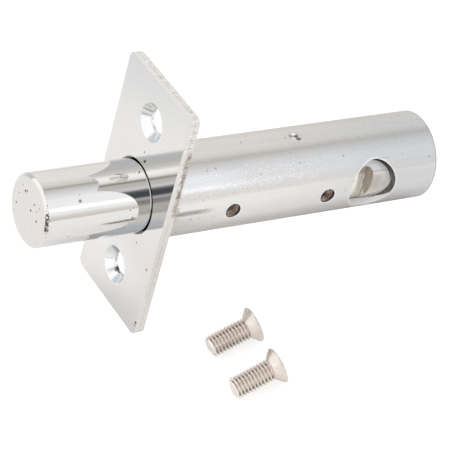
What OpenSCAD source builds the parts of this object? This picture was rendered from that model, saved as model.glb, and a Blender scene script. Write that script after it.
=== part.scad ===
// Tubular mortise deadbolt: a round bolt slides in a casing tube behind a screwed face plate.
// The origin is the centre of the face plate's front, with +X into the door along the tube,
// +Z up along the plate and -Y towards the side that carries the drive hole.

/* [Face plate] */
// Length of the face plate, top to bottom
plate_length = 71.5; // [66:0.5:90]
// Width of the face plate
plate_width = 33; // [30:0.5:40]
// Thickness of the face plate
plate_thickness = 3; // [2.6:0.1:4]
// Radius of the face plate's corners
plate_corner = 2; // [0.5:0.5:5]
// Distance between the centres of the two screw holes
screw_spacing = 47.5; // [42:0.5:52]
// Diameter of the screw holes
screw_hole = 6.5; // [6.2:0.1:7]
// Diameter of the countersinks at the front of the plate
countersink = 10.7; // [10.4:0.1:12]

/* [Casing tube] */
// Outer diameter of the casing tube
tube_diameter = 25; // [24:0.5:28]
// Wall thickness of the casing tube, which leaves the rest of its inside to the bolt
tube_wall = 2.27; // [2:0.01:3]
// Depth of the lock behind the front of the face plate
body_depth = 92.5; // [90:0.5:110]
// Bevel on the rear edge of the tube
tube_bevel = 0.4; // [0.2:0.1:0.8]
// Leg of the brazed fillet between tube and plate
braze_leg = 1.2; // [0.6:0.1:2]

/* [Drive hole and fixing holes] */
// Diameter of the cross hole that the drive enters through
drive_hole = 15.5; // [13:0.5:17]
// From the centre of the drive hole to the rear end of the tube
drive_hole_inset = 21.7; // [18:0.1:24]
// How far the centre of the drive hole lies above the middle of the tube
drive_hole_raise = 0.4; // [-1:0.1:1]
// From the centre of the drive hole to the nearer tapped hole
tapped_hole_inset = 15.3; // [12:0.1:20]
// Distance between the two tapped holes
tapped_hole_spacing = 30.9; // [25:0.1:32]
// Core diameter of the tapped holes
tapped_hole = 4.2; // [3.3:0.1:5]

/* [Bolt] */
// How far the thrown bolt stands out of the plate
bolt_reach = 31.2; // [30.5:0.1:40]
// Bevel around the nose of the bolt
nose_bevel = 1; // [0.4:0.1:2.5]
// How far the bolt's tail runs on behind the drive hole
tail_beyond = 5.5; // [2:0.5:9]

/* [Drive notches] */
// Distance from one drive notch to the next
notch_pitch = 7.5; // [6.5:0.1:7.6]
// Number of drive notches
notch_count = 5; // [3:1:5]
// Width of a drive notch along the bolt
notch_width = 5.2; // [3:0.1:5.5]
// How far a drive notch runs up from the middle of the bolt to its round upper end
notch_top = 5.2; // [4:0.1:7]
// Depth of a drive notch
notch_depth = 3.7; // [2:0.1:4.5]
// How far the last notch's rear wall lies behind the centre of the drive hole
notch_lead = 1.2; // [0:0.1:3]

/* [Guide pin] */
// Diameter of the guide pin
pin_diameter = 4; // [3:0.1:5]
// From the front of the plate to the guide pin
pin_position = 48.4; // [42:0.1:52]
// Depth of the guide groove in the bolt
groove_depth = 2.6; // [1.5:0.1:3.5]
// Diameter of the punch mark on the guide pin
punch_mark = 2; // [1:0.1:2.6]

/* [Detent] */
// Diameter of the detent ball
ball_diameter = 4; // [3:0.1:5]
// From the front of the plate to the detent ball, with the bolt thrown
detent_position = 32; // [24:0.5:40]
// Length of the detent spring
spring_length = 6; // [4:0.1:7]
// Wire diameter of the detent spring
spring_wire = 0.45; // [0.3:0.05:0.6]
// Number of coils in the detent spring
spring_coils = 6; // [4:1:8]

/* [Fixing screws] */
// Thread diameter of the fixing screws
screw_diameter = 6; // [5:0.1:6]
// Overall length of a fixing screw
screw_length = 14; // [10:0.5:20]
// Head diameter of a fixing screw
screw_head = 10; // [9:0.1:10.6]
// Height of the straight rim around the head
screw_rim = 0.4; // [0.2:0.1:0.8]
// Bevel at the tip of a fixing screw
screw_tip = 0.6; // [0.4:0.1:1.5]
// From the plate's front to the loose screws' tips, along the surface they lie on
screws_along = 12.7; // [0:0.1:40]
// From the bolt's axis to the nearer loose screw
screws_aside = 31.7; // [26:0.1:50]
// Distance between the two loose screws, side by side
screws_apart = 16.1; // [12:0.1:30]
// How far the farther screw lies forward of the nearer one
screws_stagger = 1.9; // [0:0.1:10]

/* [Fits] */
// Running clearance all round between bolt and tube
running_clearance = 0.23; // [0.05:0.01:0.3]
// Extra radius of the plate's bolt hole over the bolt
plate_clearance = 0.4; // [0.1:0.05:0.6]
// Clearance between guide pin and groove, on each side
groove_clearance = 0.1; // [0.05:0.05:0.3]
// Clearance between the detent ball and its bore, on the radius
ball_clearance = 0.1; // [0.05:0.05:0.2]

/* [Hidden] */
$fn = 96;
// Overlap that lets a cut run clear of the surface
eps = 1;

tube_r = tube_diameter / 2;
bore_r = tube_r - tube_wall;
bolt_r = bore_r - running_clearance;
plate_hole_r = bolt_r + plate_clearance;

drive_hole_x = body_depth - drive_hole_inset;
rear_tapped_hole_x = drive_hole_x - tapped_hole_inset;
tapped_holes_x = [rear_tapped_hole_x - tapped_hole_spacing, rear_tapped_hole_x];

// The bolt draws back by one pitch less than the row of notches
bolt_throw = notch_pitch * (notch_count - 1);
notch_back = drive_hole_x + notch_lead;
tail_x = drive_hole_x + drive_hole / 2 + tail_beyond;

pin_r = pin_diameter / 2;
groove_r = pin_r + groove_clearance;
groove_floor = bolt_r - groove_depth;

ball_r = ball_diameter / 2;
ball_y = bolt_r - ball_r;
ball_bore_r = ball_r + ball_clearance;
spring_r = ball_r - spring_wire / 2 - ball_clearance;
// Where the outermost coil meets the ball
ball_seat = ball_y - sqrt(pow(ball_r + spring_wire / 2, 2) - pow(spring_r, 2));
spring_foot = ball_seat - spring_length;
detent_seat_r = ball_r * 0.65;

head_r = screw_head / 2;
shank_r = screw_diameter / 2;
head_cone = head_r - shank_r;
// The lock lies on the plate's lower rear edge and on the rear end of the tube
rest_tilt = atan((plate_length / 2 - tube_r) / (body_depth - plate_thickness));
// A loose screw lies on its head's rim and on the end of its thread
screw_lie = atan((head_r - shank_r) / (screw_length - screw_rim - screw_tip));

// Turns a shape drawn upwards so that it runs along +X
module along_x(x = 0) {
    translate([x, 0, 0]) rotate([0, 90, 0]) children();
}

// Turns a shape drawn upwards so that it runs towards -Y
module towards_side(x = 0) {
    translate([x, 0, 0]) rotate([90, 0, 0]) children();
}

// A rod with a bevel on one or both ends
module bevelled_rod(r, length, foot = 0, top = 0) {
    rotate_extrude()
        polygon([
            [0, 0], [r - foot, 0], [r, foot],
            [r, length - top], [r - top, length], [0, length]
        ]);
}

// A bar with rounded ends between two points on the X axis
module slot(x_from, x_to, r, height) {
    translate([x_from, 0, 0]) cylinder(r = r, h = height);
    translate([x_to, 0, 0]) cylinder(r = r, h = height);
    translate([x_from, -r, 0]) cube([x_to - x_from, 2 * r, height]);
}

module face_plate_outline() {
    half = [plate_width / 2 - plate_corner, plate_length / 2 - plate_corner];
    square([plate_width, 2 * half[1]], center = true);
    square([2 * half[0], plate_length], center = true);
    for (y = [-1, 1], z = [-1, 1])
        translate([y * half[0], z * half[1]]) circle(r = plate_corner);
}

module countersunk_hole() {
    sink = (countersink - screw_hole) / 2;
    translate([0, 0, -eps]) cylinder(d = screw_hole, h = plate_thickness + 2 * eps);
    cylinder(d1 = countersink, d2 = screw_hole, h = sink);
    translate([0, 0, -eps]) cylinder(d = countersink, h = eps);
}

module face_plate() {
    color("gainsboro") difference() {
        rotate([90, 0, 90]) linear_extrude(plate_thickness) face_plate_outline();
        along_x(-eps) cylinder(r = plate_hole_r, h = plate_thickness + 2 * eps);
        for (side = [-1, 1])
            translate([0, 0, side * screw_spacing / 2]) along_x() countersunk_hole();
    }
}

module casing_tube() {
    color("silver") difference() {
        along_x(plate_thickness)
            bevelled_rod(tube_r, body_depth - plate_thickness, top = tube_bevel);
        along_x() cylinder(r = bore_r, h = body_depth + eps);
        translate([0, 0, drive_hole_raise])
            towards_side(drive_hole_x) cylinder(d = drive_hole, h = tube_r + eps);
        for (x = tapped_holes_x)
            towards_side(x) cylinder(d = tapped_hole, h = tube_r + eps);
        translate([pin_position, 0, 0]) cylinder(r = pin_r, h = tube_r + eps);
        for (x = [0, bolt_throw])
            towards_side(detent_position + x)
                translate([0, 0, -tube_r - eps]) cylinder(r = detent_seat_r, h = tube_r + eps);
    }
}

// A concave fillet of brazing metal in the corner behind the plate
module brazed_seam() {
    arc = [for (i = [0:8]) [
        tube_r + braze_leg * (1 - sin(i * 90 / 8)),
        braze_leg * (1 - cos(i * 90 / 8))
    ]];
    color("tan") along_x(plate_thickness)
        rotate_extrude() polygon(concat([[tube_r, 0]], arc));
}

// The pin is fixed in the tube wall and its lower end runs in the bolt's groove
module guide_pin() {
    foot = groove_floor + 3 * groove_clearance;
    color("darkgray") difference() {
        translate([pin_position, 0, foot])
            bevelled_rod(pin_r, tube_r - foot, foot = 0.3, top = 0.2);
        translate([pin_position, 0, tube_r - punch_mark / 4])
            cylinder(d1 = 0, d2 = punch_mark, h = punch_mark / 4);
    }
}

// The notches are milled in from below with a cutter of their own width, and end in a round
module drive_notches() {
    cutter_r = notch_width / 2;
    for (i = [0:notch_count - 1])
        translate([notch_back - cutter_r - i * notch_pitch, 0, 0]) rotate([0, 90, -90])
            translate([0, 0, bolt_r - notch_depth])
                slot(cutter_r - notch_top, bolt_r, cutter_r, notch_depth + eps);
}

module guide_groove() {
    translate([0, 0, groove_floor])
        slot(pin_position - bolt_throw, pin_position, groove_r, groove_depth + eps);
}

module bolt() {
    color("lightsteelblue") difference() {
        along_x(-bolt_reach)
            bevelled_rod(bolt_r, bolt_reach + tail_x, foot = nose_bevel, top = nose_bevel / 2);
        drive_notches();
        guide_groove();
        towards_side(detent_position)
            translate([0, 0, -bolt_r - eps])
                cylinder(r = ball_bore_r, h = bolt_r + eps - spring_foot);
    }
}

module detent_ball() {
    color("lightgray") translate([detent_position, ball_y, 0]) sphere(r = ball_r);
}

// Rings of points along the coil, joined by triangles and closed at both ends
module detent_spring() {
    per_turn = 24;
    sides = 6;
    steps = spring_coils * per_turn;
    rise = spring_length - spring_wire;
    points = [for (i = [0:steps], j = [0:sides - 1])
        let (turn = i * 360 / per_turn,
             side = j * 360 / sides,
             r = spring_r + spring_wire / 2 * cos(side))
        [r * cos(turn), r * sin(turn), rise * i / steps + spring_wire / 2 * (1 + sin(side))]
    ];
    skin = [for (i = [0:steps - 1], j = [0:sides - 1])
        let (a = i * sides + j,
             b = i * sides + (j + 1) % sides)
        each [[a, b, b + sides], [a, b + sides, a + sides]]
    ];
    foot = [for (j = [1:sides - 2]) [0, j + 1, j]];
    top = [for (j = [1:sides - 2]) [0, j, j + 1] + steps * sides * [1, 1, 1]];
    color("dimgray") translate([detent_position, spring_foot, 0]) rotate([-90, 0, 0])
        polyhedron(points, concat(skin, foot, top));
}

// A countersunk screw with its tip at the origin and its head towards +Z
module fixing_screw() {
    neck = screw_length - screw_rim - head_cone;
    recess = screw_head * 0.3;
    blade = screw_head / 10;
    difference() {
        rotate_extrude()
            polygon([
                [0, 0], [shank_r - screw_tip, 0], [shank_r, screw_tip], [shank_r, neck],
                [head_r, neck + head_cone], [head_r, screw_length], [0, screw_length]
            ]);
        for (turn = [0, 90])
            rotate(turn) translate([-recess, -blade / 2, screw_length - recess])
                cube([2 * recess, blade, recess + eps]);
    }
}

// Both screws lie loose beside the lock, on the surface that the lock lies on
module fixing_screws() {
    color("tan")
        translate([plate_thickness, 0, -plate_length / 2]) rotate([0, -rest_tilt, 0])
            for (i = [0, 1])
                translate([screws_along - i * screws_stagger, -screws_aside - i * screws_apart, 0])
                    translate([screw_tip, 0, 0]) rotate([0, -screw_lie, 0])
                        translate([-screw_tip, 0, shank_r]) rotate([0, 90, 0]) fixing_screw();
}

face_plate();
casing_tube();
brazed_seam();
guide_pin();
bolt();
detent_spring();
detent_ball();
fixing_screws();
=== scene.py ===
from math import atan, atan2, cos, degrees, pi, radians, sin, sqrt

import bmesh
import bpy
from mathutils import Matrix, Vector, noise


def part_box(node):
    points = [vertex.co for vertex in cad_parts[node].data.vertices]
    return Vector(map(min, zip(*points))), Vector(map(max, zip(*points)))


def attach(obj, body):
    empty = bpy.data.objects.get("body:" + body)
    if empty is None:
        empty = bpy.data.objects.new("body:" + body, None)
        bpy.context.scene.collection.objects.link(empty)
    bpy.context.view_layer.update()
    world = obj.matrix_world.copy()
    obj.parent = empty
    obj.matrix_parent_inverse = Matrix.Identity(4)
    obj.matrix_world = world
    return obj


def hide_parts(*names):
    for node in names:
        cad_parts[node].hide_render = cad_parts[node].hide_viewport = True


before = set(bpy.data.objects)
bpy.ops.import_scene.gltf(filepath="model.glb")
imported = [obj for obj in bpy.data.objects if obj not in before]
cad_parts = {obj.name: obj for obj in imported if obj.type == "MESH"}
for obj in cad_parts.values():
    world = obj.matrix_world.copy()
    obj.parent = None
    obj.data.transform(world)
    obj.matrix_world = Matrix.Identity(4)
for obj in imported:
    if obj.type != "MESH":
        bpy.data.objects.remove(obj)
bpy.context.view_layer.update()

# Face plate
# A strip sheared from 3 mm steel, with its corners rounded and two screw holes countersunk.
# It closes the bored hole in the door's edge, carries the tube on its back and is chromed bright.
plate_low, plate_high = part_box("face_plate")
plate_thickness = plate_high.x - plate_low.x
plate_width = plate_high.y - plate_low.y
plate_length = plate_high.z - plate_low.z
plate_corner = 0.002
plate_land = 0.0016
plate_burr = 0.0001
plate_hole = 0.0104
screw_spacing = 0.0475
screw_hole = 0.00325
countersink = 0.00535
plate_rim = 0.0002
plate_edge = 0.00012
# How far a cutter runs past a piece, and how near two places are that count as one
past = 0.001
hair = 1e-6


def pick_none():
    """Leaves nothing selected, so that an operator meets only what is picked for it."""
    if bpy.context.mode != "OBJECT":
        bpy.ops.object.mode_set(mode="OBJECT")
    bpy.ops.object.select_all(action="DESELECT")


def choose(piece):
    """Makes a piece the only one selected, and the active one."""
    pick_none()
    piece.select_set(True)
    bpy.context.view_layer.objects.active = piece


def open_piece(piece):
    """Opens a piece in edit mode, with nothing in it picked."""
    choose(piece)
    bpy.ops.object.mode_set(mode="EDIT")
    bpy.ops.mesh.select_mode(type="EDGE")
    bpy.ops.mesh.select_all(action="DESELECT")


def pick(piece, wanted, kind="edges"):
    """Picks the edges, faces or vertices of the open piece that pass a test."""
    shape = bmesh.from_edit_mesh(piece.data)
    for item in getattr(shape, kind):
        item.select_set(bool(wanted(item)))
    bmesh.update_edit_mesh(piece.data)


def middle(item):
    """The middle of an edge or face."""
    corners = [v.co for v in item.verts]
    return sum(corners, Vector()) / len(corners)


def close_piece(piece):
    """Leaves edit mode."""
    bpy.ops.object.mode_set(mode="OBJECT")
    return piece


def block(name, low, high):
    """A block between two corners."""
    pick_none()
    low, high = Vector(low), Vector(high)
    bpy.ops.mesh.primitive_cube_add(size=1, location=(low + high) / 2)
    piece = bpy.context.object
    piece.name = name
    piece.scale = high - low
    bpy.ops.object.transform_apply(location=True, rotation=True, scale=True)
    return piece


def turned(name, profile, segments=192):
    """A turned piece on the X axis, drawn through its profile: places along X and radii.
    A profile that ends where it began makes a ring, and any other one a solid piece."""
    pick_none()
    ring = profile[0] == profile[-1]
    place, radius = profile[0]
    bpy.ops.mesh.primitive_circle_add(
        vertices=segments,
        radius=radius,
        fill_type="NOTHING" if ring else "NGON",
        location=(place, 0, 0),
        rotation=(0, pi / 2, 0),
    )
    piece = bpy.context.object
    piece.name = name
    bpy.ops.object.transform_apply(location=True, rotation=True, scale=True)
    bpy.ops.object.mode_set(mode="EDIT")
    bpy.ops.mesh.select_all(action="SELECT")
    for next_place, next_radius in profile[1:]:
        step = {"value": (next_place - place, 0, 0)}
        if ring:
            bpy.ops.mesh.extrude_edges_move(TRANSFORM_OT_translate=step)
        else:
            bpy.ops.mesh.extrude_region_move(TRANSFORM_OT_translate=step)
        change = next_radius / radius
        bpy.ops.transform.resize(value=(1, change, change), center_override=(next_place, 0, 0))
        place, radius = next_place, next_radius
    bpy.ops.mesh.select_all(action="SELECT")
    if ring:
        bpy.ops.mesh.remove_doubles(threshold=1e-7)
    bpy.ops.mesh.normals_make_consistent(inside=False)
    return close_piece(piece)


def place_at(piece, move=(0, 0, 0), turn=0.0, about="Z"):
    """Turns a piece about an axis through the origin and moves it, within its mesh."""
    piece.data.transform(Matrix.Translation(move) @ Matrix.Rotation(turn, 4, about))
    return piece


def finish_with(piece, kind, **settings):
    """Adds a modifier to a piece and applies it."""
    choose(piece)
    step = piece.modifiers.new(kind.lower(), kind)
    for setting, value in settings.items():
        setattr(step, setting, value)
    bpy.ops.object.modifier_apply(modifier=step.name)
    return piece


def cut(piece, tool, way="DIFFERENCE"):
    """Cuts a piece with another solid, which is used up."""
    finish_with(piece, "BOOLEAN", operation=way, solver="EXACT", object=tool)
    bpy.data.objects.remove(tool)


def round_edges(piece, width, over=40):
    """Takes the sharpness off every edge that turns by more than an angle."""
    return finish_with(
        piece,
        "BEVEL",
        width=width,
        segments=2,
        limit_method="ANGLE",
        angle_limit=radians(over),
        use_clamp_overlap=False,
        miter_outer="MITER_ARC",
    )


def smooth(piece, angle=32):
    """Shades a piece smooth, apart from edges that turn by more than an angle."""
    choose(piece)
    bpy.ops.object.shade_smooth_by_angle(angle=radians(angle))
    return finish_with(piece, "WEIGHTED_NORMAL", weight=100, keep_sharp=True)


plate = block("plate", plate_low, plate_high)
open_piece(plate)
pick(plate, lambda e: abs(e.verts[0].co.x - e.verts[1].co.x) > plate_thickness / 2)
bpy.ops.mesh.bevel(offset=plate_corner, segments=10)
bpy.ops.mesh.select_all(action="SELECT")
bpy.ops.mesh.bisect(plane_co=(plate_land, 0, 0), plane_no=(1, 0, 0))
pick(plate, lambda v: v.co.x > plate_thickness - hair, "verts")
bpy.ops.transform.resize(value=(1, 1 - 2 * plate_burr / plate_width, 1 - 2 * plate_burr / plate_length))
close_piece(plate)

sink = countersink - screw_hole
for side in (-1, 1):
    screw_way = turned(
        "screw_way",
        [(-past, countersink + past), (sink, screw_hole), (plate_thickness + past, screw_hole)],
        segments=128,
    )
    cut(plate, place_at(screw_way, (0, 0, side * screw_spacing / 2)))
round_edges(plate, plate_edge)
bolt_way = turned(
    "bolt_way",
    [
        (-past, plate_hole + plate_rim + past),
        (plate_rim, plate_hole),
        (plate_thickness + past, plate_hole),
    ],
)
cut(plate, bolt_way)
smooth(plate)
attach(plate, "case")
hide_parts("face_plate")


class Value:
    """A number or colour in a material's nodes, with arithmetic that adds Math nodes."""

    def __init__(self, finish, socket):
        self.finish = finish
        self.socket = socket

    def with_(self, operation, *others):
        return self.finish.node("ShaderNodeMath", {"operation": operation}, [self, *others])

    def __add__(self, other):
        return self.with_("ADD", other)

    __radd__ = __add__

    def __sub__(self, other):
        return self.with_("SUBTRACT", other)

    def __rsub__(self, other):
        return self.finish.node("ShaderNodeMath", {"operation": "SUBTRACT"}, [other, self])

    def __mul__(self, other):
        return self.with_("MULTIPLY", other)

    def __truediv__(self, other):
        return self.with_("DIVIDE", other)

    def __abs__(self):
        return self.with_("ABSOLUTE")

    def between(self, low, high):
        """0 at low, 1 at high, and a soft step between them."""
        settings = {"interpolation_type": "SMOOTHSTEP"}
        return self.finish.node("ShaderNodeMapRange", settings, {"Value": self, 1: low, 2: high})


def most(values):
    """The largest of several values."""
    largest, *others = values
    for other in others:
        largest = largest.with_("MAXIMUM", other)
    return largest


class Finish:
    """The node tree of a material or of the surroundings."""

    def __init__(self, owner):
        owner.use_nodes = True
        self.owner = owner
        self.tree = owner.node_tree
        self.tree.nodes.clear()

    def node(self, kind, settings=None, values=(), output=0):
        """Adds a node with its settings, then its values or links, and gives one output."""
        made = self.tree.nodes.new(kind)
        for setting, value in (settings or {}).items():
            if setting == "stops":
                while len(made.color_ramp.elements) < len(value):
                    made.color_ramp.elements.new(0.5)
                for element, (position, colour) in zip(made.color_ramp.elements, value):
                    element.position = position
                    element.color = (*colour, 1)
            else:
                setattr(made, setting, value)
        pairs = values.items() if isinstance(values, dict) else enumerate(values)
        for name, value in pairs:
            socket = made.inputs[name]
            if isinstance(value, Value):
                self.tree.links.new(value.socket, socket)
            elif isinstance(value, tuple) and len(value) == 3 and socket.type == "RGBA":
                socket.default_value = (*value, 1)
            else:
                socket.default_value = value
        return Value(self, made.outputs[output]) if len(made.outputs) else None

    def place(self, scale=(1, 1, 1), move=(0, 0, 0)):
        """The object's own coordinates, in millimetres, scaled and moved."""
        point = self.node("ShaderNodeTexCoord", output="Object")
        size = tuple(1000 * s for s in scale)
        return self.node("ShaderNodeMapping", {}, {"Vector": point, "Scale": size, "Location": move})

    def axes(self):
        """X, Y and Z in millimetres."""
        parts = self.place()
        return [
            self.node("ShaderNodeSeparateXYZ", {}, {"Vector": parts}, output=i) for i in range(3)
        ]

    def grain(self, size, detail=2.0, rough=0.5, scale=(1, 1, 1), move=(0, 0, 0)):
        """Cloudy noise from 0 to 1, with patches of about a size in millimetres."""
        values = {"Vector": self.place(scale, move), "Scale": 1 / size}
        values |= {"Detail": detail, "Roughness": rough}
        return self.node("ShaderNodeTexNoise", {}, values)

    def specks(self, spacing, radius, share, scale=(1, 1, 1), move=(0, 0, 0)):
        """Round specks, 1 inside and 0 outside, in a share of the cells of a spacing."""
        cells = {"Vector": self.place(scale, move), "Scale": 1 / spacing}
        away = self.node("ShaderNodeTexVoronoi", {}, cells, output="Distance")
        pick_of = self.node("ShaderNodeTexVoronoi", {}, cells, output="Color")
        chance = self.node("ShaderNodeSeparateColor", {}, [pick_of], output=0)
        size = self.node("ShaderNodeSeparateColor", {}, [pick_of], output=1)
        edge = (size * 0.7 + 0.3) * (radius / spacing)
        inside = 1 - (away / edge).between(0.7, 1.1)
        return inside * chance.between(1 - share, 1 - share + 0.001)

    def near(self, centre, radius, soft=0.5):
        """1 near a point, in millimetres, and 0 beyond a radius from it."""
        settings = {"operation": "DISTANCE"}
        away = self.node("ShaderNodeVectorMath", settings, [self.place(), centre], output="Value")
        return 1 - away.between(radius * (1 - soft), radius)

    def spots(self, centres, radius):
        """Single round spots of about a radius at given places."""
        rough_edge = self.grain(0.35, detail=1) * 0.8 + 0.6
        sizes = [radius * (0.75 + 0.25 * (i % 3)) for i in range(len(centres))]
        found = most([self.near(centre, size, soft=0.6) for centre, size in zip(centres, sizes)])
        return (found * rough_edge).between(0.25, 0.6)

    def mix(self, amount, first, second):
        """A share of the second colour over the first."""
        settings = {"data_type": "RGBA"}
        return self.node("ShaderNodeMix", settings, {0: amount, 6: first, 7: second}, output=2)

    def coats(self, colour, *layers):
        """A colour with others laid over it in turn, each by its share."""
        for amount, layer in layers:
            colour = self.mix(amount, colour, layer)
        return colour

    def tinted(self, colour, tint):
        """A colour seen through another one."""
        settings = {"data_type": "RGBA", "blend_type": "MULTIPLY"}
        return self.node("ShaderNodeMix", settings, {0: 1.0, 6: colour, 7: tint}, output=2)

    def bump(self, height, depth, strength=1.0):
        """Relief of a depth in millimetres."""
        values = {"Height": height, "Distance": depth / 1000, "Strength": strength}
        return self.node("ShaderNodeBump", {}, values)

    def metal(self, **values):
        """A metal surface, joined to the output."""
        sockets = {name.replace("_", " ").title(): value for name, value in values.items()}
        sockets.setdefault("Metallic", 1.0)
        surface = self.node("ShaderNodeBsdfPrincipled", {}, sockets)
        self.node("ShaderNodeOutputMaterial", {}, {"Surface": surface})


def material(name):
    """A new material, still without nodes."""
    return Finish(bpy.data.materials.new(name))


def give(piece, *finishes):
    """Puts finishes on a piece's material slots, in order."""
    piece.data.materials.clear()
    for finish in finishes:
        piece.data.materials.append(finish.owner)


chrome = (0.80, 0.788, 0.772)
stain = (0.20, 0.135, 0.085)

plate_face = material("plate_face")
x, y, z = plate_face.axes()
smudge = plate_face.grain(9, detail=4, rough=0.6, scale=(1, 1.6, 0.7))
haze = plate_face.grain(1.1, detail=3)
fine_pits = plate_face.specks(3.4, 0.14, 0.16, scale=(0.01, 1, 1))
face_pits = [
    (0, -0.4, 14.5), (0, -1.8, 12.6), (0, -1.4, 12.1), (0, -7.1, -10.6),
    (0, -14.4, -14.2), (0, -15.9, -31.4), (0, -15.8, -32.5),
]
# Painted light: the face is lighter towards its foot, which brightens what it mirrors there
lightened_foot = (-10 - z).between(0, 12) * (y + 22).between(-6, 22)
face_colour = plate_face.coats(
    chrome,
    (smudge.between(0.42, 0.85) * 0.3, (0.72, 0.71, 0.695)),
    (lightened_foot * 0.85, (0.90, 0.885, 0.87)),
    (fine_pits * 0.5, stain),
    (plate_face.spots(face_pits, 0.45) * 0.9, (0.06, 0.04, 0.03)),
)
plate_face.metal(
    base_color=face_colour,
    roughness=0.05 + smudge * 0.05 + haze * 0.02,
    normal=plate_face.bump(haze, 0.002, 0.3),
)

sheared_edge = material("sheared_edge")
x, y, z = sheared_edge.axes()
scores = sheared_edge.grain(0.34, detail=2, scale=(0.12, 1, 1))
blotch = sheared_edge.grain(1.6, detail=3)
pocks = sheared_edge.grain(0.45, detail=2, move=(5, 5, 5))
land = plate_land * 1000
torn = (x + blotch * 1.2 - 0.6).between(land - 0.25, land + 0.25)
behind_tube = (1 - abs(z - 14.9).between(9.6, 11.2)) * (0 - y).between(10, 14)
burnt = torn * behind_tube * (blotch * 0.4 + pocks * 0.6).between(0.25, 0.5)
burnt_colour = sheared_edge.mix(scores.between(0.42, 0.58), (0.25, 0.21, 0.17), (0.60, 0.55, 0.49))
upper = z.between(10, 19)
dark_nicks = scores.between(0.56, 0.66) * x.between(0.8, 1.3) * upper
bright_nicks = (1 - scores.between(0.34, 0.42)) * upper
line_along = (1 - abs(x - 1.45).between(0.1, 0.3)) * blotch.between(0.4, 0.5)
edge_colour = sheared_edge.coats(
    (0.82, 0.79, 0.755),
    (blotch.between(0.35, 0.8) * 0.4, (0.74, 0.71, 0.675)),
    (dark_nicks * 0.75, (0.33, 0.30, 0.27)),
    (bright_nicks * 0.7, (0.97, 0.96, 0.95)),
    (burnt * 0.9, burnt_colour),
    (line_along * 0.35, (0.55, 0.51, 0.47)),
)
sheared_edge.metal(
    base_color=edge_colour,
    metallic=0.45,
    roughness=0.4 + blotch * 0.1 + burnt * 0.2,
    normal=sheared_edge.bump(scores * (0.3 + torn) + pocks * 0.4, 0.05, 0.7),
)

countersink_finish = material("countersink")
turning = countersink_finish.grain(0.5, detail=2, scale=(3, 0.4, 0.4))
dirt = countersink_finish.spots([(2.4, 0.1, -27.0), (3.0, -0.9, -26.9), (2.2, 1.2, -26.8)], 0.8)
countersink_finish.metal(
    base_color=countersink_finish.mix(dirt * 0.85, (0.85, 0.85, 0.85), (0.17, 0.10, 0.065)),
    roughness=0.14 + turning * 0.1,
    normal=countersink_finish.bump(turning, 0.003, 0.5),
)

give(plate, plate_face, sheared_edge, countersink_finish)
edge_band = 0.0004
sink_band = 0.0002
for face in plate.data.polygons:
    at = face.center
    outside = max(abs(at.y) - plate_width / 2, abs(at.z) - plate_length / 2) > -edge_band
    if outside and abs(face.normal.x) < 0.5:
        face.material_index = 1
    elif abs(face.normal.x) < 0.95:
        from_screw = sqrt(at.y**2 + (abs(at.z) - screw_spacing / 2) ** 2)
        if from_screw < countersink + sink_band:
            face.material_index = 2


# Casing tube
# A drawn steel tube that is butted against the plate's back and brazed there, then satin chromed.
# Its side has the round hole for the drive and two holes that are tapped M5.
tube_low, tube_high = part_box("casing_tube")
tube_end = tube_high.x
tube_radius = tube_high.z
tube_bore = 0.01008
tube_bevel = 0.0004
drive_place = 0.0708
drive_radius = 0.00755
drive_raise = 0.0004
drive_tall = 1.026
tapped_places = (0.0246, 0.0555)
tap_core = 0.0021
tap_outer = 0.0025
tap_pitch = 0.0008
tap_turns = 2
tap_inset = 0.00008
tap_mouth = 0.00226
# One turn of a thread: shares of its pitch, and of its depth there
thread_form = ((0, 0), (0.4, 1), (0.5, 1), (0.9, 0))
pin_place = 0.0484
pin_radius = 0.002
seat_radius = 0.0013
seat_places = (0.032, 0.062)
tube_edge = 0.0001
ring_gap = 0.0006

holes_beside = [(drive_place, drive_radius), (pin_place, pin_radius)]
holes_beside += [(place, tap_outer) for place in tapped_places]
holes_beside += [(place, seat_radius) for place in seat_places]
rings = sorted(place + side * (radius + ring_gap) for place, radius in holes_beside for side in (-1, 1))
tube = turned(
    "tube",
    [(tube_low.x, tube_radius)]
    + [(place, tube_radius) for place in rings]
    + [(tube_end - tube_bevel, tube_radius), (tube_end, tube_radius - tube_bevel), (tube_end, tube_bore)]
    + [(place, tube_bore) for place in reversed(rings)]
    + [(tube_low.x, tube_bore), (tube_low.x, tube_radius)],
    segments=256,
)


def side_way(name, radius, place, raised=0, side=-1, segments=96):
    """A straight drill through one side of the tube."""
    drill = turned(name, [(0, radius), (tube_radius + past, radius)], segments)
    return place_at(place_at(drill, turn=side * pi / 2), (place, 0, raised))


tap_profile = [(0, tap_core)]
for i in range(tap_turns):
    start = tube_bore + tap_inset + i * tap_pitch
    for along, high in thread_form:
        tap_profile.append((start + along * tap_pitch, tap_core + high * (tap_outer - tap_core)))
tap_profile += [(start + tap_pitch, tap_mouth), (tube_radius + past, tap_mouth)]
drive_way = side_way("drive_way", drive_radius, drive_place, drive_raise, segments=160)
for vertex in drive_way.data.vertices:
    vertex.co.z = drive_raise + (vertex.co.z - drive_raise) * drive_tall
cut(tube, drive_way)
for place in tapped_places:
    tap = place_at(turned("tap", tap_profile, 96), turn=-pi / 2)
    cut(tube, place_at(tap, (place, 0, 0)))
for place in seat_places:
    cut(tube, side_way("seat_way", seat_radius, place, side=1, segments=48))
pin_way = turned("pin_way", [(0, pin_radius), (tube_radius + past, pin_radius)], 64)
place_at(pin_way, turn=-pi / 2, about="Y")
cut(tube, place_at(pin_way, (pin_place, 0, 0)))


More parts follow.
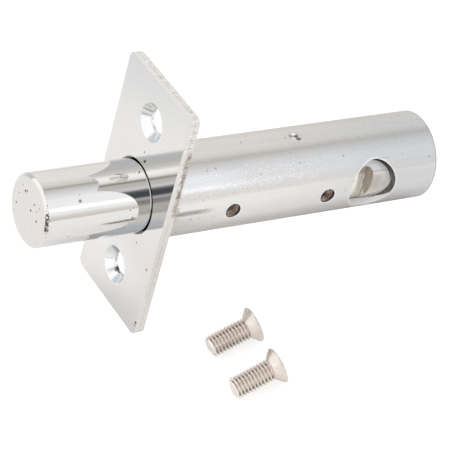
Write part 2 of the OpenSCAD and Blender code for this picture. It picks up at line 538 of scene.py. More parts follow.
def outer_rim(edge):
    """A sharp edge on the tube's outside, or inside it round the drive hole, but not at the pin."""
    if len(edge.link_faces) != 2 or edge.calc_face_angle() < radians(50):
        return False
    depths = [v.co.yz.length for v in edge.verts]
    at = middle(edge)
    outside = min(depths) > tube_radius - 5 * hair
    by_drive = at.y < 0 and abs(at.x - drive_place) < drive_radius + ring_gap
    inside = max(depths) < tube_bore + 5 * hair and by_drive
    by_pin = at.z > tube_bore and abs(at.x - pin_place) < pin_radius + tube_edge
    return (outside or inside) and not by_pin


open_piece(tube)
pick(tube, outer_rim)
bpy.ops.mesh.bevel(offset=tube_edge, segments=2)
close_piece(tube)
smooth(tube)
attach(tube, "case")
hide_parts("casing_tube")


def angle_round(y, z):
    """The angle round the X axis in degrees: 0 towards the drive side and 90 at the top."""
    return z.with_("ARCTAN2", 0 - y) * (180 / pi)


def ring_ramp(finish, angle, stops):
    """A colour that changes with an angle from -180 to 180. A plain number in its stops is a grey."""
    ramp = []
    for at, colour in stops:
        ramp.append(((at + 180) / 360, colour if isinstance(colour, tuple) else (colour,) * 3))
    return finish.node("ShaderNodeValToRGB", {"stops": ramp}, [angle / 360 + 0.5])


satin = material("satin")
x, y, z = satin.axes()
around = angle_round(y, z)
rear = x.between(25, 80)
sparkle = satin.grain(0.28, detail=2, rough=0.6)
cloud = satin.grain(7, detail=4, rough=0.6, scale=(0.5, 1, 1))
smear = satin.grain(3.2, detail=3, rough=0.55, scale=(0.35, 1, 1), move=(31, 7, 3))
fine = satin.specks(2.6, 0.28, 0.12)
# Painted light: a lighter band of sheen just above the drive side, weaker towards the rear
sheen_and_rub = around.between(-4, 12) * (1 - around.between(20, 31)) * (1 - rear * 0.8)
# Painted highlight: a light band from 31 to 58 degrees round the tube, near the plate
front_highlight = around.between(31, 35) * (1 - around.between(50, 58)) * (1 - x.between(18, 32))
# Painted shade: darker low on the tube, more so towards the rear where the table is close below
underside_shade = (0 - z).between(8.2, 11) * (cloud * 0.6 + 0.5) * (0.45 + x.between(46, 60) * 0.25)
grainy = (1 - abs(around - 42).between(9, 24)) * (1 - x.between(44, 64))
rough_share = 0.2 + grainy * 0.2 + x.between(60, 78) * 0.2
# Painted highlights: bluish white glints scattered over the bright band
painted_glints = satin.grain(0.32, detail=1, move=(9, 9, 9)).between(0.56, 0.68) * grainy
marks = []
out = tube_radius * 1000
for at, turn in (
    (17.2, 60), (16.9, 57), (19.5, 58.6), (7.1, 20), (6.9, 15), (6.8, 11.5), (7.7, 28),
    (14.3, 22), (11.3, -2.5), (13.8, -3), (45.1, 89), (46.2, 50), (47.6, 50), (34.4, 106),
    (31.1, 92), (45.3, 90), (33, 43), (8.7, -25), (12.1, -28), (41.7, -23), (85.8, 103),
    (92, 97), (90.4, 89), (60.7, 51), (67.7, 73), (61.2, 5), (89.6, 34),
):
    marks.append((at, -out * cos(radians(turn)), out * sin(radians(turn))))
streak = (1 - abs(z - 1.5).between(0.2, 1.1)) * (1 - x.between(12, 20)) * (0 - y).between(4, 8)
pocked = satin.grain(0.26, detail=2, move=(1, 2, 3)).between(0.4, 0.6)
scorched = (1 - x.between(5.2, 8.2)) * (1 - abs(z - 1.6).between(1, 3)) * (0 - y).between(4, 8)
streak = most([streak * smear.between(0.0, 0.4) * (pocked * 0.75 + 0.4), scorched * pocked])
satin_colour = satin.coats(
    satin.mix(rear, (0.745, 0.73, 0.712), (0.66, 0.668, 0.675)),
    (cloud.between(0.35, 0.85) * 0.3, (0.62, 0.61, 0.60)),
    (sheen_and_rub * 0.8, (0.86, 0.85, 0.835)),
    (front_highlight * 0.7, (0.87, 0.87, 0.88)),
    (underside_shade, (0.40, 0.36, 0.33)),
    (sparkle.between(0.3, 0.75) * rough_share, (0.45, 0.45, 0.46)),
    (painted_glints * 0.5, (0.99, 1.0, 1.0)),
    (fine * 0.4, stain),
    (satin.spots(marks, 0.34) * 0.42, (0.16, 0.15, 0.14)),
    (streak * 0.9, (0.22, 0.18, 0.145)),
)
# Painted highlight: a thin pale line round the outer rims of the drive hole and tapped holes, where a
# rounded edge would catch the light
rims = []
for place, raised, radius, tall in (
    (drive_place, drive_raise, drive_radius, drive_tall),
    *((place, 0, tap_mouth, 1) for place in tapped_places),
):
    across = x - place * 1000
    upward = (z - raised * 1000) / tall
    away = (across * across + upward * upward).with_("SQRT")
    rims.append(1 - away.between(radius * 1000 + 0.32, radius * 1000 + 0.48))
rim_highlight = most(rims) * (0 - y).between(0, 1)
# Painted light and shade: the tube's colour is made lighter or darker by its angle round the axis, and
# warmer and darker past the top
light_and_shade_round = [
    (-180, 0.97), (-46, 0.97), (-36, 1.0), (-28, 1.10), (-18, 1.17), (-8, 1.18), (0, 1.12),
    (8, 1.03), (17, 1.02), (23, 1.13), (28, 1.04), (34, 0.94), (42, 0.98), (54, 1.03),
    (61, 1.11), (66, 1.18), (71, 1.11), (78, 1.08), (88, 1.0), (108, (1.05, 1.04, 1.02)),
    (115, (1.0, 0.98, 0.95)), (122, (0.92, 0.91, 0.88)), (130, (0.90, 0.88, 0.85)), (180, 0.90),
]
end_ring = x.between(91.75, 92.0)
satin_colour = satin.coats(
    satin.tinted(satin_colour, ring_ramp(satin, around, light_and_shade_round)),
    (rim_highlight * 0.7, (0.97, 0.955, 0.93)),
    (end_ring * 0.8, (0.34, 0.325, 0.31)),
)
dull_foot = (1 - x.between(12, 24)) * (1 - around.between(-4, 5))
satin.metal(
    base_color=satin_colour,
    roughness=0.15 + rear * 0.08 + smear * 0.06 + rim_highlight * 0.2 + dull_foot * 0.25,
    normal=satin.bump(sparkle, 0.045, 0.5),
)

hole_wall = material("hole_wall")
x, y, z = hole_wall.axes()
boring = hole_wall.grain(0.3, detail=2, scale=(0.5, 3, 0.5))
wall_patch = hole_wall.grain(1.2, detail=2, move=(3, 0, 8))
out = (y * y + z * z).with_("SQRT")
# Painted light and shade: the drive hole's wall is pale low down and towards the outside, where light
# reaches it, and dark above, with a painted highlight along its inner rim
shade = (z + (tube_radius * 1000 - out) * 2.2 + wall_patch * 0.8 - 0.4).between(-2.5, -1.4)
bright_wall = hole_wall.mix(boring.between(0.4, 0.65), (1.0, 1.0, 1.0), (0.82, 0.85, 0.90))
dark_wall = hole_wall.mix(boring.between(0.35, 0.65), (0.06, 0.06, 0.058), (0.26, 0.25, 0.24))
inner_rim_highlight = 1 - out.between(tube_bore * 1000 + 0.22, tube_bore * 1000 + 0.4)
wall_colour = hole_wall.mix(shade, bright_wall, dark_wall)
hole_wall.metal(
    base_color=hole_wall.mix(inner_rim_highlight * 0.8, wall_colour, (0.80, 0.81, 0.82)),
    metallic=shade * 0.9 * (1 - inner_rim_highlight),
    roughness=0.3 + boring * 0.2,
    normal=hole_wall.bump(boring, 0.03, 0.6),
)

tapped_wall = material("tapped_wall")
x, y, z = tapped_wall.axes()
rust = tapped_wall.grain(0.9, detail=3)
# Painted shade: dark in the upper part of each tapped hole, near its mouth
mouth_shade = (0 - y).between(11.2, 11.9) * (z + 1.9).between(-0.3, 0.4)
tapped_wall.metal(
    base_color=tapped_wall.coats(
        (0.36, 0.27, 0.22),
        (rust.between(0.35, 0.65), (0.62, 0.49, 0.41)),
        (mouth_shade * 0.85, (0.05, 0.04, 0.035)),
    ),
    metallic=0.75,
    roughness=0.42,
    normal=tapped_wall.bump(rust, 0.03, 0.5),
)

give(tube, satin, hole_wall, tapped_wall)
wall_reach = tube_edge + 0.00002
for face in tube.data.polygons:
    at = face.center
    from_drive = sqrt((at.x - drive_place) ** 2 + ((at.z - drive_raise) / drive_tall) ** 2)
    from_tapped = min(sqrt((at.x - place) ** 2 + at.z**2) for place in tapped_places)
    depth = sqrt(at.y**2 + at.z**2)
    if at.y < 0 and depth < tube_radius - wall_reach and at.x < tube_end - past:
        if abs(from_drive - drive_radius) < wall_reach:
            face.material_index = 1
        elif from_tapped < tap_outer + tube_edge:
            face.material_index = 2


# Brazed seam
# A small concave fillet of brazing metal that ran into the corner between the tube and the plate.
# It was chromed over with them, and the heat has left it dull and brown in places.
seam_low, seam_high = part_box("brazed_seam")
seam_leg = seam_high.x - seam_low.x
seam_steps = 8
seam_sunk = 0.0002
seam_foot = tube_radius - seam_sunk
ripple_grain = 900
ripple_share = 0.18
seam_profile = [(seam_low.x, seam_foot)]
for i in range(seam_steps + 1):
    turn = i * pi / 2 / seam_steps
    place = seam_low.x + seam_leg * (1 - cos(turn))
    seam_profile.append((place, tube_radius + seam_leg * (1 - sin(turn))))
seam_profile += [(seam_high.x, seam_foot), (seam_low.x, seam_foot)]
seam = turned("seam", seam_profile, segments=160)
for vertex in seam.data.vertices:
    away = vertex.co.yz.length - tube_radius
    if away > seam_sunk / 2:
        ripple = noise.noise(vertex.co * ripple_grain)
        vertex.co.x = seam_low.x + (vertex.co.x - seam_low.x) * (1 - ripple_share * abs(ripple))
smooth(seam, 60)
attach(seam, "case")
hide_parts("brazed_seam")

seam_finish = material("seam_finish")
scale_marks = seam_finish.grain(1.4, detail=4, rough=0.6)
seam_finish.metal(
    base_color=seam_finish.mix(scale_marks.between(0.4, 0.65), (0.60, 0.57, 0.53), (0.26, 0.20, 0.15)),
    roughness=0.3 + scale_marks * 0.15,
    normal=seam_finish.bump(scale_marks, 0.05, 0.5),
)
give(seam, seam_finish)


# Guide pin
# A steel pin driven into the tube's top, so that its foot runs in the bolt's groove.
# Its head was staked with a punch, which left a rough dimple, and then chromed with the tube.
pin_low, pin_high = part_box("guide_pin")
dimple_radius = 0.0017
dimple_depth = 0.0003
dimple_aside = -0.0004
dimple_steps = 7
dent_depth = 0.00012
dent_grain = 1300
pin_bevel = 0.0003
pin_sunk = 0.00002
pin_profile = [(pin_low.z, pin_radius - pin_bevel), (pin_low.z + pin_bevel, pin_radius)]
pin_profile.append((tube_radius - pin_sunk, pin_radius))
for i in range(dimple_steps):
    out = 1 - i / dimple_steps
    depth = dimple_depth * (1 - out**2) + 1.5 * pin_sunk
    pin_profile.append((tube_radius - depth, dimple_radius * out))
pin = turned("pin", pin_profile, segments=64)
place_at(pin, turn=-pi / 2, about="Y")
place_at(pin, (pin_place, 0, 0))
for vertex in pin.data.vertices:
    across = Vector((vertex.co.x - pin_place, vertex.co.y))
    if vertex.co.z > tube_radius - 2 * dimple_depth:
        vertex.co.y += dimple_aside * max(0, 1 - (across.length / pin_radius) ** 2)
        dent = noise.noise(vertex.co * dent_grain) * (1 - (across.length / pin_radius) ** 4)
        flank = sqrt(tube_radius**2 - across.y**2) - tube_radius
        vertex.co.z += min(dent, 0) * dent_depth + flank
smooth(pin, 50)
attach(pin, "case")
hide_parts("guide_pin")

pin_finish = material("pin_finish")
hammered = pin_finish.grain(0.9, detail=2, move=(2, 4, 0))
mark_middle = (pin_place * 1000 + 0.1, -0.7, tube_radius * 1000)
struck = pin_finish.near(mark_middle, 2.0, soft=0.3)
# Painted shade in the hollows of the punch mark, and painted highlights on its ridges
hollow_shade = pin_finish.spots([(47.3, 0.4, 12.3), (48.9, 0.1, 12.3), (49.1, -1.4, 12.2)], 0.9)
shade_between = pin_finish.near((49.0, 0.2, 12.3), 1.1, soft=0.5)
ridge_highlights = [(47.4, -1.1, 12.2), (47.8, -1.8, 12.1), (48.8, 1.1, 12.4), (48.2, -0.5, 12.2)]
pin_colour = pin_finish.coats(
    (0.66, 0.65, 0.64),
    (struck * 0.5, (0.80, 0.79, 0.78)),
    (shade_between * 0.55, (0.22, 0.22, 0.22)),
    (hollow_shade * 0.85, (0.14, 0.14, 0.145)),
    (pin_finish.spots(ridge_highlights, 0.65) * 0.9, (1.0, 0.99, 0.98)),
)
pin_finish.metal(
    base_color=pin_colour,
    roughness=0.3 + hammered * 0.1,
    normal=pin_finish.bump(hammered * struck, 0.12, 0.6),
)
give(pin, pin_finish)


# Bolt
# A steel bar, turned to run in the tube, bevelled at the nose, polished and chromed to a mirror.
# The drive works in the notches milled into its side, and the guide pin runs in the groove on top.
bolt_low, bolt_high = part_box("bolt")
bolt_radius = bolt_high.z
nose_bevel = 0.0009
nose_bevel_depth = 0.0006
tail_bevel = 0.0005
notch_pitch = 0.0075
notch_count = 5
notch_width = 0.0052
notch_top = 0.0052
notch_depth = 0.0037
notch_back = 0.072
groove_floor = 0.0074
groove_radius = 0.0021
ball_place = 0.032
ball_bore = 0.0021
ball_bore_floor = 0.0012
bolt_edge = 0.0001

bolt = turned(
    "bolt",
    [
        (bolt_low.x, bolt_radius - nose_bevel),
        (bolt_low.x + nose_bevel_depth, bolt_radius),
        (bolt_high.x - tail_bevel, bolt_radius),
        (bolt_high.x, bolt_radius - tail_bevel),
    ],
    segments=256,
)


def drawn_out(cutter, axis, low, high):
    """Draws a round cutter out along an axis, so that it cuts a slot with round ends."""
    for side, reach in ((-1, low), (1, high)):
        open_piece(cutter)
        pick(cutter, lambda v: side * v.co[axis] > hair, "verts")
        bpy.ops.transform.translate(value=[reach * (i == axis) for i in range(3)])
        close_piece(cutter)
    return cutter


throw = notch_pitch * (notch_count - 1)
groove = turned("groove", [(groove_floor, groove_radius), (bolt_radius + past, groove_radius)], 64)
drawn_out(place_at(groove, turn=-pi / 2, about="Y"), 0, -throw, 0)
cut(bolt, place_at(groove, (pin_place, 0, 0)))
for i in range(notch_count):
    notch = turned(
        "notch",
        [(bolt_radius - notch_depth, notch_width / 2), (bolt_radius + past, notch_width / 2)],
        96,
    )
    drawn_out(place_at(notch, turn=-pi / 2), 2, -bolt_radius, notch_top - notch_width / 2)
    cut(bolt, place_at(notch, (notch_back - notch_width / 2 - i * notch_pitch, 0, 0)))
ball_way = turned("ball_way", [(ball_bore_floor, ball_bore), (bolt_radius + past, ball_bore)], 64)
place_at(ball_way, turn=pi / 2)
cut(bolt, place_at(ball_way, (ball_place, 0, 0)))
round_edges(bolt, bolt_edge, over=35)
smooth(bolt)
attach(bolt, "bolt")
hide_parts("bolt")

mirror = material("mirror")
x, y, z = mirror.axes()
film = mirror.grain(4, detail=3)
nose = bolt_low.x * 1000
at_nose = 1 - x.between(nose + 0.1, nose + 0.3)
nose_patches = mirror.grain(4.5, detail=1, scale=(0.01, 1, 1), move=(0, 3, 1)).between(0.42, 0.58)
nose_pits = mirror.specks(0.95, 0.2, 0.36, scale=(0.01, 1, 1)) * at_nose * nose_patches
nose_spots = []
for across, up in (
    (5.8, 1.5), (6.3, -1.9), (-1.2, 1.0), (5.0, 4.8), (2.3, 4.7), (3.1, 4.2),
    (-4.0, 2.6), (-2.3, 3.6), (-4.8, 0.1), (-7.2, -6.2), (-8.9, -5.2),
):
    nose_spots.append((nose, across, up))
side_pits = mirror.specks(2.6, 0.3, 0.10, move=(5, 2, 9)) * (1 - x.between(10, 12))
side_spots = [
    (-5.5, -9.3, 3.6), (-6.4, -9.5, 3.2), (-5.5, -9.95, 1.0), (-6.4, -10, -0.4), (-23.8, -9.7, -2.3),
]
pitted_nose = most([nose_pits, mirror.spots(nose_spots, 0.42)])
pits = most([pitted_nose, side_pits * 0.7, mirror.spots(side_spots, 0.32) * 0.8])
drag = mirror.grain(0.5, detail=2, scale=(0.04, 1, 1))
orange = mirror.near((-21, -7.2, 6.9), 0.55, soft=0.4)
around = angle_round(y, z)
rust_cloud = mirror.grain(0.7, detail=3, move=(4, 4, 0))
rust_zone = 1 - abs(around - 18).between(8, 30)
at_bevel = (1 - x.between(nose + 0.75, nose + 0.95)) * x.between(nose + 0.02, nose + 0.12)
rust_at = (rust_cloud + rust_zone * 0.21).between(0.66, 0.74) * at_bevel * (0 - y).between(2, 4)
rust_core = (rust_cloud + rust_zone * 0.12).between(0.62, 0.68)
scattered = mirror.grain(0.45, detail=1, move=(7, 2, 0)).between(0.66, 0.7) * (1 - at_nose)
scattered = scattered * (1 - x.between(nose + 0.4, nose + 3)) * (1 - abs(around - 4).between(10, 34))
rust_at = most([rust_at, orange, scattered])
rust_colour = mirror.mix(rust_core, (0.32, 0.205, 0.105), (0.07, 0.045, 0.03))
tail = x.between(30, 40)
# Inside the tube the tail is painted with light, shade and reflections: lighter low down and towards the
# rear of the drive hole, warm above 9 degrees, cream ahead of 66.7 mm, and the mirrored horizon as
# bluish grey above a dark line near 22 degrees
reflection_split = around + film * 1.5
lift_below = mirror.mix(around.between(-30, -2), (1.5, 1.5, 1.5), (1.0, 1.0, 1.0))
lower_tail_light = mirror.mix(x.between(73.5, 78.5), (0.54, 0.50, 0.46), (0.95, 0.91, 0.87))
# A dark arc with a light lip stands for the drive hole's wall, which the tail mirrors
from_hole = ((x - 71.0) * (x - 71.0) + (z + 0.86) * (z + 0.86)).with_("SQRT")
by_hole = (0 - y).between(0, 2) * x.between(69, 72) * z.between(-2.5, 0)
mirrored_wall_arc = from_hole.between(7.3, 7.45) * (1 - from_hole.between(8.3, 8.7)) * by_hole
mirrored_lip = (1 - abs(from_hole - 7.15).between(0.05, 0.2)) * by_hole
tail_painted_light = mirror.coats(
    mirror.tinted(lower_tail_light, lift_below),
    (around.between(9, 22), (0.82, 0.78, 0.75)),
    (1 - x.between(66.5, 66.9), (0.97, 0.92, 0.83)),
    (reflection_split.between(21, 22.5), (0.72, 0.72, 0.735)),
    ((1 - abs(reflection_split - 21.6).between(0.3, 1.6)) * 0.6, (0.30, 0.31, 0.33)),
    (mirrored_wall_arc * 0.93, (0.07, 0.068, 0.065)),
    (mirrored_lip * 0.6, (1.0, 0.98, 0.96)),
)
mirror_colour = mirror.coats(
    chrome,
    (drag.between(0.55, 0.75) * 0.25, (0.60, 0.585, 0.56)),
    (tail, tail_painted_light),
    (at_nose, (0.76, 0.742, 0.722)),
    (pits * 0.85, (0.10, 0.065, 0.045)),
    (rust_at * 0.92, rust_colour),
)
mirror.metal(
    base_color=mirror_colour,
    metallic=1 - tail * 0.75,
    roughness=0.025 + film * 0.03 + pits * 0.4 + rust_at * 0.3 + tail * 0.33,
    normal=mirror.bump(film, 0.004, 0.15),
)

milled = material("milled")
x, y, z = milled.axes()
cutter_marks = milled.grain(0.35, detail=2, scale=(0.25, 1, 0.25))
oil = milled.grain(1.0, detail=3)
# Painted light and shade: the floor is light below a wavy line and dark brown above it, where it lies in
# shade
lit_floor = milled.mix(oil.between(0.35, 0.7), (0.76, 0.745, 0.68), (0.95, 0.90, 0.82))
milled.metal(
    base_color=milled.mix((z + oil * 1.5).between(0.9, 2.2), lit_floor, (0.56, 0.50, 0.44)),
    metallic=0.3,
    roughness=0.5,
    normal=milled.bump(cutter_marks, 0.02, 0.5),
)

notch_wall = material("notch_wall")
x, y, z = notch_wall.axes()
# Patches of lighter tone, which also make the edge of the painted light at the wall's foot ragged
sheen_and_rub = notch_wall.grain(1.2, detail=2)
ragged = notch_wall.grain(1.5, detail=2, move=(0, 0, 4)) * 1.3
above_floor = 0 - y - (bolt_radius - notch_depth) * 1000
burr = (1 - (above_floor - ragged).between(-0.35, 0.0)) * (1 - (z + ragged).between(0.6, 1.4))
# Painted light and shade: the wall's brown is its shade, and its foot is pale where light falls in
# through the drive hole
lit_foot = 1 - (z + above_floor * 0.75 + sheen_and_rub * 0.8).between(-3.1, -2.4)
burr_line = (1 - abs(above_floor - ragged + 0.05).between(0.05, 0.3)) * (1 - z.between(0.6, 1.4))
notch_wall.metal(
    base_color=notch_wall.coats(
        (0.55, 0.48, 0.42),
        (sheen_and_rub.between(0.4, 0.7), (0.68, 0.61, 0.545)),
        (most([burr, lit_foot]), (0.94, 0.93, 0.84)),
        (burr_line * 0.7, (0.24, 0.24, 0.19)),
    ),
    metallic=0.3,
    roughness=0.5,
    normal=notch_wall.bump(sheen_and_rub, 0.01, 0.3),
)

give(bolt, mirror, milled, notch_wall)
cut_depth = 2 * bolt_edge
for face in bolt.data.polygons:
    at = face.center
    depth = sqrt(at.y**2 + at.z**2)
    if bolt_low.x + 2 * past < at.x < bolt_high.x - past and depth < bolt_radius - cut_depth:
        face.material_index = 2 if abs(face.normal.y) < 0.5 and at.y < 0 else 1


# Detent
# A hardened ball on a coiled spring in a blind bore across the bolt, opposite the notches.
# It clicks into one of two small seats in the tube and holds the bolt thrown or drawn.
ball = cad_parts["detent_ball"]
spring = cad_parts["detent_spring"]
ball_finish = material("ball_finish")
ball_finish.metal(
    base_color=ball_finish.mix(ball_finish.grain(1), chrome, (0.7, 0.7, 0.7)),
    roughness=0.08,
)
spring_finish = material("spring_finish")
drawn = spring_finish.grain(0.4)
spring_finish.metal(
    base_color=spring_finish.mix(drawn, (0.35, 0.34, 0.33), (0.5, 0.49, 0.47)),
    roughness=0.3,
)
give(ball, ball_finish)
give(spring, spring_finish)


# Fixing screws
# Two M6 countersunk machine screws with a cross recess, nickelled, that hold the plate to the door.
# They lie loose on the table beside the lock, each on its head's rim and the end of its thread.
screw_radius = 0.003
screw_core = 0.0024
screw_pitch = 0.001
screw_length = 0.014
screw_head = 0.004998
screw_rim = 0.0004
screw_tip = 0.0006
screw_edge = 0.0001
screw_rolls = (0.4, 2.3)
neck_root = 0.0006
neck_flare = 0.0002
recess_depth = 0.003
recess_width = 0.001
screws_along = 0.0127
screws_aside = 0.0317
screws_apart = 0.0161
screws_stagger = 0.0019
rest_tilt = atan((plate_length / 2 - tube_radius) / (tube_end - plate_thickness))
screw_lie = atan((screw_head - screw_radius) / (screw_length - screw_rim - screw_tip))
neck = screw_length - screw_rim - (screw_head - screw_radius)
# Painted shade in the thread's roots, by angle round the screw: light where it faces the light, dark
# where it turns away
thread_shade_round = (
    (-180, 0.7), (-60, 1.0), (2, 1.0), (16, 0.3), (42, 0.2), (54, 0.48), (82, 0.5), (89, 1.0),
    (100, 1.0), (108, 0.3), (180, 0.7),
)


def threaded_rod(turns, steps=48):
    """A threaded rod on the Z axis that stands on the origin, closed at both ends."""
    pick_none()
    bpy.ops.mesh.primitive_circle_add(vertices=5, radius=screw_pitch / 2)
    rod = bpy.context.object
    rod.name = "thread"
    for vertex, (along, high) in zip(rod.data.vertices, (*thread_form, (1, 0))):
        vertex.co = (screw_core + high * (screw_radius - screw_core), 0, along * screw_pitch)
    open_piece(rod)
    pick(rod, lambda e: {e.verts[0].index, e.verts[1].index} == {0, 4})
    bpy.ops.mesh.delete(type="EDGE")
    close_piece(rod)
    weld = screw_pitch / 50
    finish_with(
        rod,
        "SCREW",
        axis="Z",
        angle=2 * pi,
        steps=steps,
        render_steps=steps,
        screw_offset=screw_pitch,
        iterations=turns,
        use_merge_vertices=True,
        merge_threshold=weld,
    )
    open_piece(rod)
    shape = bmesh.from_edit_mesh(rod.data)
    bmesh.ops.remove_doubles(shape, verts=shape.verts, dist=weld)
    bmesh.update_edit_mesh(rod.data)
    for end in (min, max):
        shape = bmesh.from_edit_mesh(rod.data)
        open_edges = [e for e in shape.edges if e.is_boundary]
        middle_height = screw_pitch * (turns + 1) / 2
        half = [e for e in open_edges if (middle(e).z < middle_height) == (end is min)]
        hub = shape.verts.new((0, 0, end(middle(e).z for e in half)))
        for e in half:
            shape.faces.new((e.verts[0], e.verts[1], hub))
        bmesh.update_edit_mesh(rod.data)
    bpy.ops.mesh.select_all(action="SELECT")
    bpy.ops.mesh.normals_make_consistent(inside=False)
    return close_piece(rod)


def thread_shade_at(turned_up):
    """How much painted shade the thread's roots get at an angle round the screw: least where it faces
    the light.
    """
    for (low, first), (high, second) in zip(thread_shade_round, thread_shade_round[1:]):
        if turned_up <= high:
            return first + (second - first) * (turned_up - low) / (high - low)
    return thread_shade_round[-1][1]


def make_screw(name, roll):
    """A screw along +X from its tip at the origin, rolled about its own axis."""
    thread = threaded_rod(round(neck / screw_pitch) + 1)
    place_at(place_at(thread, turn=pi / 2, about="Y"), (-0.6 * screw_pitch, 0, 0))
    tip = turned(
        "tip",
        [
            (0, screw_radius - screw_tip),
            (screw_tip, screw_radius + 10 * hair),
            (neck - neck_root, screw_radius + 10 * hair),
            (neck - neck_root / 2, screw_core),
        ],
        segments=96,
    )
    cut(thread, tip, way="INTERSECT")
    head = turned(
        name,
        [
            (neck - 2 * neck_root, screw_core),
            (neck - neck_root, screw_core + 20 * hair),
            (neck - neck_flare, screw_radius - neck_root / 2),
            (screw_length - screw_rim, screw_head),
            (screw_length - screw_edge, screw_head),
            (screw_length, screw_head - screw_edge),
        ],
        segments=128,
    )
    for turn in (0, pi / 2):
        corner = Vector((0, recess_width / 2, recess_depth))
        blade = block("blade", (-recess_depth, -corner.y, -corner.z), corner)
        open_piece(blade)
        pick(blade, lambda v: v.co.x < -recess_depth / 2, "verts")
        bpy.ops.transform.resize(value=(1, 0.8, 0.35))
        close_piece(blade)
        place_at(blade, turn=turn, about="X")
        cut(head, place_at(blade, (screw_length + screw_edge, 0, 0)))
    cut(head, thread, way="UNION")
    open_piece(head)
    bpy.ops.mesh.select_all(action="SELECT")
    bpy.ops.mesh.remove_doubles(threshold=20 * hair)
    bpy.ops.mesh.dissolve_degenerate(threshold=5 * hair)
    bpy.ops.mesh.select_all(action="DESELECT")
    bpy.ops.mesh.select_interior_faces()
    bpy.ops.mesh.delete(type="ONLY_FACE")
    close_piece(head)
    place_at(head, turn=roll, about="X")
    kinds = ("grime", "on_head")
    for kind in kinds:
        head.data.attributes.new(kind, "FLOAT", "POINT")
    grime, on_head = (head.data.attributes[kind].data for kind in kinds)
    for i, vertex in enumerate(head.data.vertices):
        on_head[i].value = float(vertex.co.x > neck - screw_edge)
        if screw_edge < vertex.co.x < neck - screw_edge:
            below = (screw_radius - vertex.co.yz.length) / (screw_radius - screw_core)
            turned_up = degrees(atan2(vertex.co.z, -vertex.co.y))
            grime[i].value = max(0, min(1, below * 1.6 - 0.5)) * sqrt(thread_shade_at(turned_up))
    return head


screws = []
for i, roll in enumerate(screw_rolls):
    screw = make_screw("screw_" + "ab"[i], roll)
    place_at(screw, (-screw_tip, 0, screw_radius))
    place_at(screw, turn=-screw_lie, about="Y")
    along = screws_along - i * screws_stagger + screw_tip
    place_at(screw, (along, -screws_aside - i * screws_apart, 0))
    place_at(screw, (plate_thickness, 0, -plate_length / 2), turn=-rest_tilt, about="Y")
    smooth(screw, 25)
    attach(screw, "case")
    screws.append(screw)
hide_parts("fixing_screws")

nickel = material("nickel")
dull = nickel.grain(1.8, detail=3)
thread_shaded = nickel.node("ShaderNodeAttribute", {"attribute_name": "grime"}, output="Fac")
plain_head = nickel.node("ShaderNodeAttribute", {"attribute_name": "on_head"}, output="Fac")
nickel_colour = nickel.mix(dull, (0.98, 0.905, 0.84), (0.85, 0.77, 0.70))
nickel_colour = nickel.tinted(nickel_colour, nickel.mix(plain_head, (1, 1, 1), (0.86, 0.855, 0.86)))
nickel_colour = nickel.mix(thread_shaded * thread_shaded * 0.85, nickel_colour, (0.15, 0.115, 0.09))
nickel.metal(
    base_color=nickel_colour,
    metallic=0.75,
    roughness=0.2 + dull * 0.1,
    normal=nickel.bump(nickel.grain(0.3), 0.006, 0.3),
)
for screw in screws:
    give(screw, nickel)


# Table
# The lock lies on the plate's lower rear edge and on the end of its tube, so that in this frame the
# table slopes by the lock's own tilt. It is plain white to the camera and shows nothing of itself
# from below. In reflections it carries painted shade under the lock and in front of the plate,
# deeper where it is mirrored twice, and darker tones off to the left and further away.
table_size = 1.1
pick_none()
bpy.ops.mesh.primitive_plane_add(size=table_size)
table = bpy.context.object
table.name = "table"
place_at(table, (plate_thickness, 0, -plate_length / 2), turn=-rest_tilt, about="Y")

cloth = material("table_top")
seen = cloth.node("ShaderNodeLightPath", output="Is Camera Ray")
mirrored = cloth.node("ShaderNodeLightPath", output="Is Glossy Ray")
through = cloth.node("ShaderNodeLightPath", output="Is Transmission Ray")
twice = cloth.node("ShaderNodeLightPath", output="Glossy Depth").between(1.4, 1.6)
x, y, z = cloth.axes()
by_screws = cloth.near((20, -42, -31), 33, soft=0.45)
share = seen * (0.95 - by_screws * 0.35) + mirrored * 0.09 + through * 0.95
out_far = (x * x + y * y).with_("SQRT")
before_plate = (0 - x).between(-2, 2)
# Painted shade on the table, seen only in reflections: under the lock, in front of the plate, and deeper
# where mirrored twice
shade_under_lock = 1 - abs(y + 3).between(9, 24)
shaded = before_plate * (1 - (0 - x).between(0, 16)) * (1 - abs(y + 6).between(6, 20))
table_colour = cloth.coats(
    (1.0, 1.0, 1.0),
    (x.between(8, 20) * shade_under_lock, (0.86, 0.83, 0.81)),
    (shaded, (0.87, 0.87, 0.875)),
)
twice_mirrored_shade = cloth.coats(
    (0.84, 0.845, 0.845),
    (y.between(-60, -15), (0.66, 0.70, 0.755)),
    (y.between(-13, -1), (0.58, 0.62, 0.665)),
    (y.between(0, 22), (0.97, 0.965, 0.96)),
)
off_left = (0 - x).between(30, 80) * out_far.between(105, 170)
left_colour = cloth.mix(y.between(-90, 20), (0.58, 0.575, 0.56), (0.84, 0.86, 0.88))
table_colour = cloth.coats(
    cloth.tinted(table_colour, cloth.mix(twice, (1.0, 1.0, 1.0), twice_mirrored_shade)),
    (off_left, left_colour),
    (y.between(20, 70) * x.between(0, 90), (0.83, 0.815, 0.79)),
    (out_far.between(250, 350) * x.between(0, 60), (0.76, 0.70, 0.66)),
)
table_colour = cloth.mix(mirrored, (1.0, 1.0, 1.0), table_colour)
matt = cloth.node("ShaderNodeBsdfDiffuse", {}, {"Color": table_colour})
glow = cloth.node("ShaderNodeEmission", {}, {"Color": table_colour, "Strength": 1.2})
lit = cloth.node("ShaderNodeMixShader", {}, [share, matt, glow])
clear = cloth.node("ShaderNodeBsdfTransparent", {}, {"Color": (1.0, 1.0, 1.0)})
under = cloth.node("ShaderNodeNewGeometry", output="Backfacing")
top = cloth.node("ShaderNodeMixShader", {}, [under, lit, clear])
cloth.node("ShaderNodeOutputMaterial", {}, {"Surface": top})
give(table, cloth)


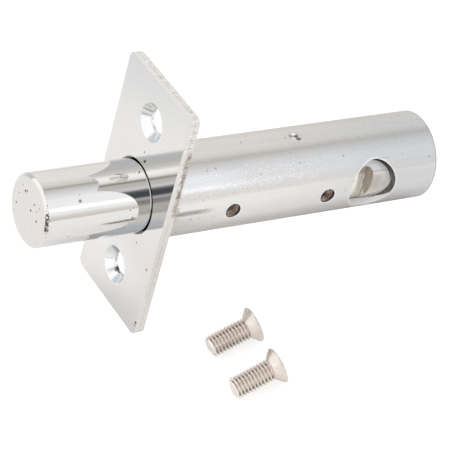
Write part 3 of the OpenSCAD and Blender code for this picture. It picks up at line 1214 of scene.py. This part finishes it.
# Light
# A white light tent: bluish panels overhead, a bright strip to the side, warm walls, and darker
# gaps at the table's edge and where the camera looks in.
tent = Finish(bpy.data.worlds.new("tent"))
bpy.context.scene.world = tent.owner
way = tent.node("ShaderNodeTexCoord", output="Generated")
x, y, z = [tent.node("ShaderNodeSeparateXYZ", {}, {"Vector": way}, output=i) for i in range(3)]
around = angle_round(y, z)
far_stops = [
    (-180, 0.90), (-150, 0.95), (-60, 1.0), (-8, (0.98, 0.97, 0.95)), (3, (0.74, 0.70, 0.67)),
    (9, (0.84, 0.80, 0.77)), (17, (1.04, 1.05, 1.06)), (33, (1.08, 1.09, 1.11)),
    (44, (1.05, 1.07, 1.11)), (60, (1.03, 1.05, 1.08)), (74, (0.87, 0.89, 0.92)), (86, 0.73),
    (93, (0.60, 0.595, 0.58)), (98, (0.45, 0.44, 0.42)), (102, (0.72, 0.70, 0.67)),
    (112, (0.84, 0.81, 0.79)), (128, (0.94, 0.93, 0.92)), (172, (0.91, 0.90, 0.89)),
    (180, 0.90),
]
near_stops = [
    (-180, (0.70, 0.72, 0.75)), (-150, 1.0), (-20, (0.62, 0.60, 0.57)), (2, (0.66, 0.64, 0.60)),
    (9, 0.36), (18, 0.30), (26, (0.62, 0.625, 0.635)), (32, (0.08, 0.09, 0.10)),
    (45, (0.075, 0.09, 0.105)), (51, (0.235, 0.235, 0.24)), (58, (0.92, 0.94, 0.99)),
    (66, (0.76, 0.755, 0.76)), (76, (0.73, 0.725, 0.70)), (82, (0.32, 0.31, 0.29)),
    (89, (1.12, 1.09, 1.06)), (98, (1.36, 1.34, 1.36)), (107, (1.34, 1.35, 1.37)),
    (115, (0.99, 0.96, 0.96)), (124, (0.83, 0.84, 0.85)), (138, (0.70, 0.715, 0.72)),
    (165, (0.67, 0.71, 0.745)), (180, (0.66, 0.69, 0.73)),
]
walls = tent.coats(
    ring_ramp(tent, around, far_stops),
    ((0 - x).between(-0.2, 0.2), ring_ramp(tent, around, near_stops)),
    ((0 - x).between(0.54, 0.60), (1.18, 1.18, 1.18)),
)
shown = tent.node("ShaderNodeLightPath", output="Is Camera Ray")
through = tent.node("ShaderNodeLightPath", output="Is Transmission Ray")
scattered = tent.node("ShaderNodeLightPath", output="Is Diffuse Ray")
walls = tent.mix(most([shown, through, scattered]), walls, (1.0, 1.0, 1.0))
sky = tent.node("ShaderNodeBackground", {}, {"Color": walls, "Strength": 1.0})
tent.node("ShaderNodeOutputWorld", {}, {"Surface": sky})

card_height = 30
card_away = 0.341
card_along = 0.17
card_length = 0.26
card_width = 0.1
pick_none()
bpy.ops.mesh.primitive_plane_add(size=1)
card = bpy.context.object
card.name = "lamp_card"
card.data.transform(Matrix.Diagonal((card_length, card_width, 1, 1)))
place_at(card, turn=radians(90 - card_height), about="X")
up, out = sin(radians(card_height)), cos(radians(card_height))
place_at(card, (card_along, -card_away * out, card_away * up))

card_light = material("card_light")
x, y, z = card_light.axes()
across = y * up + z * out
bright = (1 - abs(across).between(18, 42)) * (1 - x.between(225, 290))
mirrored = card_light.node("ShaderNodeLightPath", output="Is Glossy Ray")
glow = card_light.node("ShaderNodeEmission", {}, {"Strength": bright * mirrored * 0.34})
clear = card_light.node("ShaderNodeBsdfTransparent")
both = card_light.node("ShaderNodeAddShader", {}, [glow, clear])
card_light.node("ShaderNodeOutputMaterial", {}, {"Surface": both})
give(card, card_light)


# Camera
# A long lens close to 180 mm looks down along the bolt from the drive side, as in the photograph.
lens = bpy.data.cameras.new("lens")
lens.lens = 178.83
lens.sensor_width = 36
lens.clip_start = 0.01
lens.clip_end = 10
camera = bpy.data.objects.new("camera", lens)
bpy.context.scene.collection.objects.link(camera)
camera.location = (-0.290078, -0.390492, 0.341155)
camera.rotation_euler = (radians(53.73348), radians(-13.28996), radians(-30.07935))
bpy.context.scene.camera = camera
bpy.context.scene.view_settings.view_transform = "Standard"
